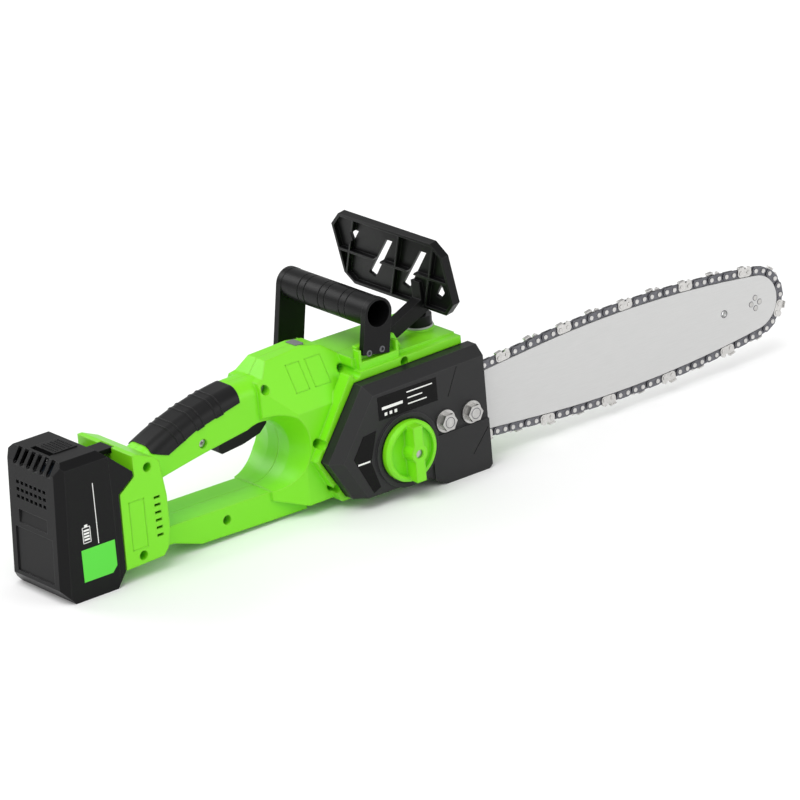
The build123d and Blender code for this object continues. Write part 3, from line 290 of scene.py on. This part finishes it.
def spread(tree, points, shape, end, smooth=True):
    """Copies a shape onto every point, makes the copies real, and sets their material."""
    copy = tree.nodes.new("GeometryNodeInstanceOnPoints")
    tree.links.new(points, copy.inputs["Points"])
    tree.links.new(shape, copy.inputs["Instance"])
    steps = ["GeometryNodeRealizeInstances", "GeometryNodeSetMaterial"]
    if smooth:
        steps.insert(1, "GeometryNodeSetShadeSmooth")
    tree.links.new(stick(tree, copy, *[tree.nodes.new(step) for step in steps]), end)
    return copy


def grow(name, spots, group, finish, body, slot_name, stands_for=(), attributes=None, **sizes):
    """Runs a geometry node tree over a list of points and keeps the result as one plain mesh."""
    for step in group.nodes:
        if step.bl_idname == "GeometryNodeSetMaterial":
            step.inputs["Material"].default_value = finish.material
    seed = bpy.data.meshes.new(name + "_seed")
    seed.from_pydata([tuple(spot) for spot in spots], [], [])
    for word, values in (attributes or {}).items():
        seed.attributes.new(word, "FLOAT_VECTOR", "POINT").data.foreach_set(
            "vector", [number for value in values for number in value])
    holder = bpy.data.objects.new(name + "_seed", seed)
    bpy.context.scene.collection.objects.link(holder)
    modifier = holder.modifiers.new("grow", "NODES")
    modifier.node_group = group
    for item in group.interface.items_tree:
        if item.in_out == "INPUT" and item.name in sizes:
            modifier[item.identifier] = sizes[item.name]
    bpy.context.view_layer.update()
    grown = bpy.data.meshes.new_from_object(holder.evaluated_get(bpy.context.evaluated_depsgraph_get()))
    bpy.data.objects.remove(holder)
    return piece(name, grown, finish, body, stands_for)


def piece(name, mesh, finish, body, stands_for=()):
    """Puts a finished mesh into the scene as a piece that rides on a body."""
    mesh.materials.clear()
    mesh.materials.append(finish.material)
    thing = bpy.data.objects.new(name, mesh)
    bpy.context.scene.collection.objects.link(thing)
    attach(thing, body)
    if stands_for:
        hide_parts(*stands_for)
    return thing


# thin printed or raised rectangles: the point is the centre, "size" holds each one's three sides, and
# "turn" its angles
plates, plates_in, plates_out = node_group("plates")
plates_box = plates.nodes.new("GeometryNodeMeshCube")
plates_copy = spread(plates, plates_in.outputs[0], plates_box.outputs["Mesh"], plates_out.inputs[0],
                     smooth=False)
plates.links.new(named_vector(plates, "turn"), plates_copy.inputs["Rotation"])
plates.links.new(named_vector(plates, "size"), plates_copy.inputs["Scale"])

print_white = moulded("print_white", tone(0.82, 0.82, 0.80), tone(0.9, 0.9, 0.9), 0.4, 0.000002, 900, 0.0001)
side_face = (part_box("battery_case_rear")[0].y - split_plane) * 1000
marks = [(36.2, 68, 0.7, 50), (26.0, 46.6, 7.4, 0.6), (26.0, 59.4, 7.4, 0.6),
         (22.5, 53, 0.6, 13), (29.5, 53, 0.6, 13)]
marks += [(26.0, 49.2 + 2.5 * bar, 5.2, 1.5) for bar in range(4)] + [(26.0, 60.6, 3.0, 1.8)]
grow("battery_print", [at(s, side_face - 0.03, h) for s, h, _, _ in marks], plates, print_white, "battery",
     "label_green", attributes={"size": [(a / 1000, 0.00012, b / 1000) for _, _, a, b in marks]})

# the thumb pad's grip: rows of low domes
domes, domes_in, domes_out = node_group("domes", radius=0.001, rings=6)
dome_ball = domes.nodes.new("GeometryNodeMeshUVSphere")
dome_ball.inputs["Segments"].default_value = 12
domes.links.new(domes_in.outputs["radius"], dome_ball.inputs["Radius"])
domes.links.new(domes_in.outputs["rings"], dome_ball.inputs["Rings"])
dome_copy = spread(domes, domes_in.outputs[0], dome_ball.outputs["Mesh"], domes_out.inputs[0])
dome_copy.inputs["Scale"].default_value = (1, 1, 0.55)
pad_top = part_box("release_button")[1].z * 1000
grow("thumb_pad_dots", [at(23 + 3.2 * row, -10.4 + 2.6 * column + 1.3 * (row % 2), pad_top)
                        for row in range(6) for column in range(8)],
     domes, black_nylon, "battery_release", "black_shell", radius=0.0009)

# ---------------------------------------------------------------- housing
# Two halves of lime green glass-filled nylon with a soft gloss, screwed together from the right through
# deep round recesses, and parted along the saw's middle.
lime_nylon = Finish("lime_nylon", Specular_IOR_Level=0.4)
lime_soft = lime_nylon.rounded(0.002)
lime_cloud = lime_nylon.noise(9, 3)
# the paler yellow-green along the edges is a painted highlight
lime_edge_highlight = lime_nylon.edges(lime_soft, 2.5)
lime_nylon.feed("Base Color", lime_nylon.mixed(
    lime_edge_highlight * 0.45, lime_nylon.mixed(lime_cloud, tone(0.19, 0.70, 0.008), tone(0.21, 0.76, 0.010)),
    tone(0.45, 0.95, 0.10)))
lime_nylon.feed("Roughness", lime_nylon.between(lime_nylon.noise(40, 2), 0.3, 0.42))
lime_nylon.relief(lime_nylon.noise(1300, 1), 0.000012, lime_soft)
dress(lime_nylon, "housing_right", "housing_left", "clamp_knob")

zinc_steel = Finish("zinc_steel", Metallic=1.0)
zinc_soft = zinc_steel.rounded(0.0003)
zinc_steel.feed("Base Color", zinc_steel.mixed(
    zinc_steel.noise(260, 4), tone(0.36, 0.355, 0.345), tone(0.66, 0.65, 0.635)))
zinc_steel.feed("Roughness", zinc_steel.between(zinc_steel.noise(500, 3), 0.22, 0.42))
zinc_steel.relief(zinc_steel.noise(900, 3), 0.00001, zinc_soft)
dress(zinc_steel, "housing_screws", "bar_nuts", "bar_studs", "knob_screw", "tension_screw", "nose_rivets")

# raised panel lines on the hump's sloping flanks and on the block behind the battery's rail


def thousandths(sizes):
    """Millimetres to metres."""
    return [tuple(size / 1000 for size in row) for row in sizes]


def outline(s_from, s_to, low, high, line):
    """The four bars of a rectangular frame as (station, height along the face, length, width)."""
    middle_s, middle_h = (s_from + s_to) / 2, (low + high) / 2
    return [(middle_s, low, s_to - s_from + line, line), (middle_s, high, s_to - s_from + line, line),
            (s_from, middle_h, line, high - low), (s_to, middle_h, line, high - low)]


line_width, line_height = 0.7, 0.5
flank_angle, flank_top, flank_half, block_half = radians(30.4), 134, 9.5, 37
line_spots, line_sizes, line_turns = [], [], []
for sign in (-1, 1):
    flank_bars = outline(243, 256, 12, 36, line_width) + outline(262, 277, 12, 36, line_width)
    for s, along, length, width in flank_bars:
        line_spots.append(at(
            s, sign * (flank_half + along * sin(flank_angle)), flank_top - along * cos(flank_angle)))
        line_sizes.append((length, line_height, width))
        line_turns.append((sign * flank_angle, 0, 0))
    for s, height, length, width in outline(68, 82, 26, 66, line_width):
        line_spots.append(at(s, sign * block_half, height))
        line_sizes.append((length, line_height, width))
        line_turns.append((0, 0, 0))
grow("panel_lines", line_spots, plates, lime_nylon, "housing", "green_shell",
     attributes={"size": thousandths(line_sizes), "turn": line_turns})

# ---------------------------------------------------------------- rear handle's grip
# Soft dark rubber, moulded over the handle's crest, with three pairs of cross ribs for the palm.
soft_rubber = moulded("soft_rubber", tone(0.006, 0.006, 0.0063), tone(0.05, 0.05, 0.052), 0.38,
                      0.00002, 1100, 0.0015, Specular_IOR_Level=0.22)
dress(soft_rubber, "rear_grip")

# each rib runs over the crest and back beside itself, as one closed loop; the crest is an arc
crest_points = [(86, 82.7), (142, 108.5), (200, 120.2)]
grip_half, grip_round, rib_pair, rib_drop = 18.7, 12.0, 3.4, 14.0
(ax, ay), (bx, by), (cx, cy) = crest_points
twice_area = 2 * (ax * (by - cy) + bx * (cy - ay) + cx * (ay - by))
crest_s = ((ax**2 + ay**2) * (by - cy) + (bx**2 + by**2) * (cy - ay) + (cx**2 + cy**2) * (ay - by)) / twice_area
crest_h = ((ax**2 + ay**2) * (cx - bx) + (bx**2 + by**2) * (ax - cx) + (cx**2 + cy**2) * (bx - ax)) / twice_area
crest_radius = sqrt((ax - crest_s) ** 2 + (ay - crest_h) ** 2)
section = [(-grip_half, -rib_drop)]
section += [(-grip_half + grip_round * (1 - cos(turn * pi / 16)), -grip_round * (1 - sin(turn * pi / 16)))
            for turn in range(9)]
section += [(-y, z) for y, z in reversed(section)]
loop_points = [(-rib_pair, y, z) for y, z in section] + [(rib_pair, y, z) for y, z in reversed(section)]
rib_curve = bpy.data.curves.new("rib_path", "CURVE")
rib_curve.dimensions = "3D"
rib_spline = rib_curve.splines.new("POLY")
rib_spline.points.add(len(loop_points) - 1)
for point, spot in zip(rib_spline.points, loop_points):
    point.co = (*[number / 1000 for number in spot], 1)
rib_spline.use_cyclic_u = True
rib_path = bpy.data.objects.new("rib_path", rib_curve)
bpy.context.scene.collection.objects.link(rib_path)

ribs, ribs_in, ribs_out = node_group("ribs", wire=0.0007)
rib_source = ribs.nodes.new("GeometryNodeObjectInfo")
rib_source.inputs["Object"].default_value = rib_path
rib_mesh = swept(ribs, ribs_in.outputs["wire"], rib_source.outputs["Geometry"])
rib_copy = spread(ribs, ribs_in.outputs[0], rib_mesh.outputs["Mesh"], ribs_out.inputs[0])
ribs.links.new(named_vector(ribs, "turn"), rib_copy.inputs["Rotation"])
rib_spots, rib_turns = [], []
for rib_station in (131, 151, 171):
    lean = (rib_station - crest_s) / crest_radius
    rib_spots.append(at(rib_station, 0, crest_h + crest_radius * sqrt(1 - lean**2)))
    rib_turns.append((0, lean, 0))
grow("grip_ribs", rib_spots, ribs, soft_rubber, "housing", "rubber_grip", attributes={"turn": rib_turns})
bpy.data.objects.remove(rib_path)

# ---------------------------------------------------------------- trigger and lock-off button
# The trigger is a black nylon lever on a pin. The small grey button on the hump has to be pressed first.
grey_nylon = moulded("grey_nylon", tone(0.16, 0.165, 0.17), tone(0.3, 0.3, 0.31), 0.4)
dress(grey_nylon, "lock_off_button")
dress(black_nylon, "trigger", "switch_plunger", "switch_module", "lock_off_switch", "terminal_block")

# ---------------------------------------------------------------- front handle and hand guard
# Black nylon: an open tube between two leaning legs, and a dished plate on an arm, pierced by slots.
dress(black_nylon, "front_handle", "hand_guard")

# ---------------------------------------------------------------- oil tank and cap
# The tank is milky polyethylene behind the housing. Its cap is black, sits on a pale seal, and has a
# glossy sprung dome that primes the oiler.
gloss_black = moulded("gloss_black", tone(0.003, 0.003, 0.003), tone(0.02, 0.02, 0.02), 0.2,
                      0.000002, 900, 0.0006, Specular_IOR_Level=0.12)
milky_tank = moulded("milky_tank", tone(0.62, 0.62, 0.58), tone(0.75, 0.75, 0.7), 0.45)
seal_grey = moulded("seal_grey", tone(0.45, 0.45, 0.45), tone(0.6, 0.6, 0.6), 0.5)
dress(gloss_black, "oiler_plunger")
dress(black_nylon, "oil_cap")
dress(milky_tank, "oil_tank")
dress(seal_grey, "cap_seal")

# ---------------------------------------------------------------- sprocket cover
# A moulded dark grey shell with a chamfered rim, held by two flange nuts and the clamp knob. Two gloss
# black films are set into its face.
cover_nylon = moulded("cover_nylon", tone(0.016, 0.016, 0.0165), tone(0.08, 0.08, 0.082), 0.46,
                      0.00003, 1300, 0.0009, Specular_IOR_Level=0.28)
dress(cover_nylon, "sprocket_cover")
dress(gloss_black, "cover_labels")
film_face = (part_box("cover_labels")[0].y - split_plane) * 1000
film_marks = [(310, 81.5, 21, 2.4), (338, 88.2, 26, 1.0), (333, 83.2, 15, 1.0), (335, 78.2, 19, 1.0),
              (303, 76.2, 2.6, 2.6), (308, 76.2, 2.6, 2.6), (313, 76.2, 2.6, 2.6), (277.5, 41.5, 12, 1.4)]
grow("film_print", [at(s, film_face - 0.03, h) for s, h, _, _ in film_marks], plates, print_white, "housing",
     "label_black", attributes={"size": [(a / 1000, 0.00012, b / 1000) for _, _, a, b in film_marks]})

# shallow diagonal lines across the cover's front corner, drawn as thin gloss black strips: painted shade
diagonals = [((366, 95), (377, 72)), ((386, 36), (403, 17))]
slope_spots, slope_sizes, slope_turns = [], [], []
for index, ((s_from, h_from), (s_to, h_to)) in enumerate(diagonals):
    length = sqrt((s_to - s_from) ** 2 + (h_to - h_from) ** 2)
    slope_spots.append(at((s_from + s_to) / 2, -62.0 - 1.6 * index, (h_from + h_to) / 2))
    slope_sizes.append((0.5, 0.3, length))
    slope_turns.append((0, -asin((s_from - s_to) / length), 0))
grow("cover_lines", slope_spots, plates, gloss_black, "housing", "grey_cover",
     attributes={"size": thousandths(slope_sizes), "turn": slope_turns})

# ---------------------------------------------------------------- guide bar
# A laminated steel plate with a pale satin coat, four rivets in its round nose and a lubrication hole.
# The coat is rubbed thin along the rails.
bar_coat = Finish("bar_coat")
bar_soft = bar_coat.rounded(0.0005)
bar_lines = bar_coat.noise(60, 4, (1, 1, 22))
bar_coat.feed("Base Color", bar_coat.mixed(
    bar_coat.edges(bar_soft, 4), bar_coat.mixed(bar_lines, tone(0.54, 0.54, 0.535), tone(0.62, 0.62, 0.615)),
    tone(0.36, 0.36, 0.36)))
bar_coat.feed("Roughness", bar_coat.between(bar_lines, 0.32, 0.48))
bar_coat.feed("Metallic", bar_coat.between(bar_lines, 0.15, 0.3))
bar_coat.relief(bar_lines, 0.00001, bar_soft)
dress(bar_coat, "guide_bar")

# ---------------------------------------------------------------- saw chain
# Stamped links of blued steel, headed over on bright rivets, with chrome plated cutters that lean out to
# the left and the right by turns.


def ground_steel(name, dark, bright, low, high, metal=1.0, radius=0.0003):
    """Bare steel with fine streaks and bright worn edges."""
    finish = Finish(name, Metallic=metal)
    soft = finish.rounded(radius)
    streaks = finish.noise(420, 4)
    plain = finish.mixed(streaks, dark, bright)
    finish.feed("Base Color", finish.mixed(finish.edges(soft, 4) * 0.6, plain, bright))
    finish.feed("Roughness", finish.between(streaks, low, high))
    finish.relief(streaks, 0.00001, soft)
    return finish


blued_steel = ground_steel("blued_steel", tone(0.07, 0.07, 0.08), tone(0.22, 0.22, 0.24), 0.3, 0.5, 0.8)
bright_steel = ground_steel("bright_steel", tone(0.45, 0.44, 0.43), tone(0.78, 0.77, 0.75), 0.25, 0.42)
plain_steel = ground_steel("plain_steel", tone(0.38, 0.38, 0.38), tone(0.62, 0.62, 0.62), 0.25, 0.45)
dress(blued_steel, "chain_drive_links", "chain_tie_straps", "handle_screws")
dress(bright_steel, "chain_cutters_left", "chain_cutters_right", "chain_rivets")
dress(plain_steel, "nose_bearing", "nose_sprocket", "clamp_plate", "tension_block", "pivot_pins", "knob_cam")

# the dark seam round every rivet's head in the bar's nose and round the stud ends in the nuts
seams, seams_in, seams_out = node_group("seams", radius=0.002, wire=0.0002)
seam_ring = seams.nodes.new("GeometryNodeCurvePrimitiveCircle")
seams.links.new(seams_in.outputs["radius"], seam_ring.inputs["Radius"])
seam_mesh = swept(seams, seams_in.outputs["wire"], seam_ring.outputs["Curve"])
seam_copy = spread(seams, seams_in.outputs[0], seam_mesh.outputs["Mesh"], seams_out.inputs[0])
seam_copy.inputs["Rotation"].default_value = (pi / 2, 0, 0)
nose_low, nose_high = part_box("nose_bearing")
nose = (nose_low + nose_high) / 2
bar_low, bar_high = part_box("guide_bar")
rivet_circle, nut_reach, oil_hole = 0.0046, 0.0095, at(668.4, 0, 53)
grow("rivet_seams", [(nose.x + rivet_circle * cos(turn * pi / 2), face,
                      nose.z + rivet_circle * sin(turn * pi / 2))
                     for turn in range(4) for face in (bar_low.y, bar_high.y)],
     seams, blued_steel, "bar", "dark_steel", radius=0.0022, wire=0.0003)
nut_low, nut_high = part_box("bar_nuts")
grow("stud_seams", [(x, nut_low.y, (nut_low.z + nut_high.z) / 2)
                    for x in (nut_low.x + nut_reach, nut_high.x - nut_reach)],
     seams, blued_steel, "housing", "zinc_steel", radius=0.0044, wire=0.0003)
grow("hole_seam", [(oil_hole.x, face, oil_hole.z) for face in (bar_low.y, bar_high.y)],
     seams, blued_steel, "bar", "dark_steel", radius=0.0031, wire=0.0003)

# ---------------------------------------------------------------- drive train and electrics
# A brushless motor drives the chain's sprocket through one pair of spur gears. The board, the switch and
# the battery's contacts are inside the housing.
dress(plain_steel, "output_shaft", "drive_gear", "drive_sprocket", "output_bearing", "gear_plate",
      "motor_pinion", "motor_can")
dark_iron = ground_steel("dark_iron", tone(0.08, 0.08, 0.085), tone(0.2, 0.2, 0.21), 0.4, 0.6)
dress(dark_iron, "motor_rotor")
winding = Finish("winding", Metallic=0.9)
winding_turns = winding.node("ShaderNodeTexWave", {"bands_direction": "Y"},
                             {"Vector": winding.place, "Scale": 220.0, "Distortion": 1.5})
winding.feed("Base Color", winding.mixed(winding_turns, tone(0.45, 0.16, 0.05), tone(0.85, 0.42, 0.18)))
winding.feed("Roughness", winding.between(winding_turns, 0.3, 0.5))
winding.relief(winding_turns, 0.0001)
dress(winding, "motor_stator")
brass = ground_steel("brass", tone(0.6, 0.42, 0.16), tone(0.86, 0.66, 0.3), 0.25, 0.4)
dress(brass, "terminal_blades")
circuit = Finish("circuit", Coat_Weight=0.4)
tracks = circuit.node("ShaderNodeTexBrick", None,
                      {"Vector": circuit.place, "Scale": 160.0, "Mortar Size": 0.03}, output=1)
circuit.feed("Base Color", circuit.mixed(tracks, tone(0.012, 0.16, 0.05), tone(0.05, 0.32, 0.12)))
circuit.feed("Roughness", circuit.between(tracks, 0.3, 0.45))
dress(circuit, "battery_board", "controller_board")
dress(black_nylon, "cooling_fan")

# ---------------------------------------------------------------- springs
# Coil springs of hard drawn wire, closed at both ends, inside the trigger, the buttons and the oil cap.
coils, coils_in, coils_out = node_group("coils", length=0.01, radius=0.003, wire=0.0003, turns=6.0)
coil_line = coils.nodes.new("GeometryNodeCurveSpiral")
coil_line.inputs["Resolution"].default_value = 24
for word, place in (("length", "Height"), ("radius", "Start Radius"), ("radius", "End Radius"),
                    ("turns", "Rotations")):
    coils.links.new(coils_in.outputs[word], coil_line.inputs[place])
coil_mesh = swept(coils, coils_in.outputs["wire"], coil_line.outputs["Curve"])
coil_mesh.inputs["Fill Caps"].default_value = True
coil_copy = spread(coils, coils_in.outputs[0], coil_mesh.outputs["Mesh"], coils_out.inputs[0])
coils.links.new(named_vector(coils, "turn"), coil_copy.inputs["Rotation"])
for name, body, lengthwise, turns in (
    ("trigger_spring", "housing", 2, 6.0), ("lock_off_spring", "housing", 2, 4.0),
    ("plunger_spring", "oil_cap", 2, 3.0), ("release_spring", "battery", 0, 9.0),
):
    low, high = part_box(name)
    across_axis = 0 if lengthwise == 2 else 2
    outer = (high[across_axis] - low[across_axis]) / 2
    gauge = outer * 0.13
    start = (low + high) / 2
    start[lengthwise] = low[lengthwise] + gauge
    grow(name + "_coil", [start], coils, plain_steel, body, "spring_steel", (name,),
         {"turn": [(0, 0, 0) if lengthwise == 2 else (0, pi / 2, 0)]},
         length=high[lengthwise] - low[lengthwise] - 2 * gauge, radius=outer - gauge, wire=gauge, turns=turns)

# ---------------------------------------------------------------- floor's finish
# Matt pale paper with a very faint mottle.
paper = Finish("paper")
paper_cloud = paper.noise(3, 2)
paper.feed("Base Color", paper.mixed(paper_cloud, tone(0.93, 0.93, 0.93), tone(0.96, 0.96, 0.96)))
paper.feed("Roughness", paper.between(paper_cloud, 0.8, 0.9))
floor_mesh.materials.append(paper.material)
